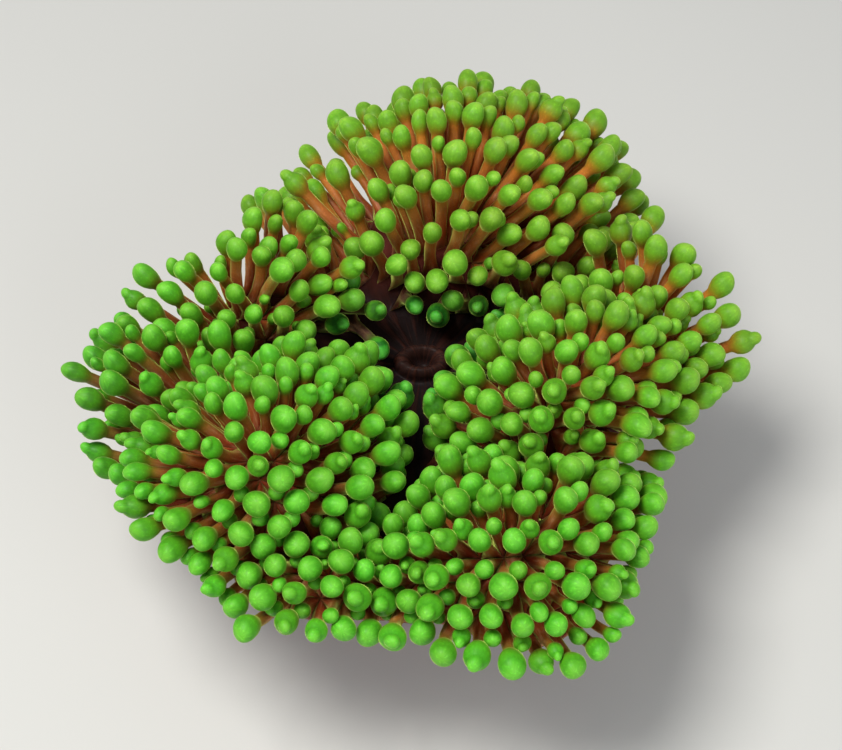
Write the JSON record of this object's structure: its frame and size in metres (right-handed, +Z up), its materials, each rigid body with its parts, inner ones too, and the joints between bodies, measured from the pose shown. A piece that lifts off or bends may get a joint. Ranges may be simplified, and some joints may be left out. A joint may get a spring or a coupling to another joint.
{
  "type": "sea anemone",
  "caption": "Still life-size bubble-tip sea anemone: a round foot and waisted column under a folded disc crowded with green, bulb-ended tentacles.",
  "frame": {"origin": "middle of the foot's flat underside, at floor level", "axes": "+Z up; the view of the picture looks down from the -Y side, with +X to its right"},
  "size_m": [0.2829, 0.2867, 0.1578],
  "materials": {
    "column_skin": "wet, soft sheen",
    "disc_skin": "wet, soft sheen",
    "mouth_skin": "wet, soft sheen",
    "tentacle_skin": "wet, soft sheen"
  },
  "bodies": {
    "root": {"foot": "column_skin", "column": "column_skin", "mouth": "mouth_skin", "oral_disc": "disc_skin", "crown_back": "tentacle_skin", "crown_back_left": "tentacle_skin", "crown_left": "tentacle_skin", "crown_front_left": "tentacle_skin", "crown_front": "tentacle_skin", "crown_front_right": "tentacle_skin", "crown_right": "tentacle_skin", "crown_back_right": "tentacle_skin"}
  },
  "joints": []
}
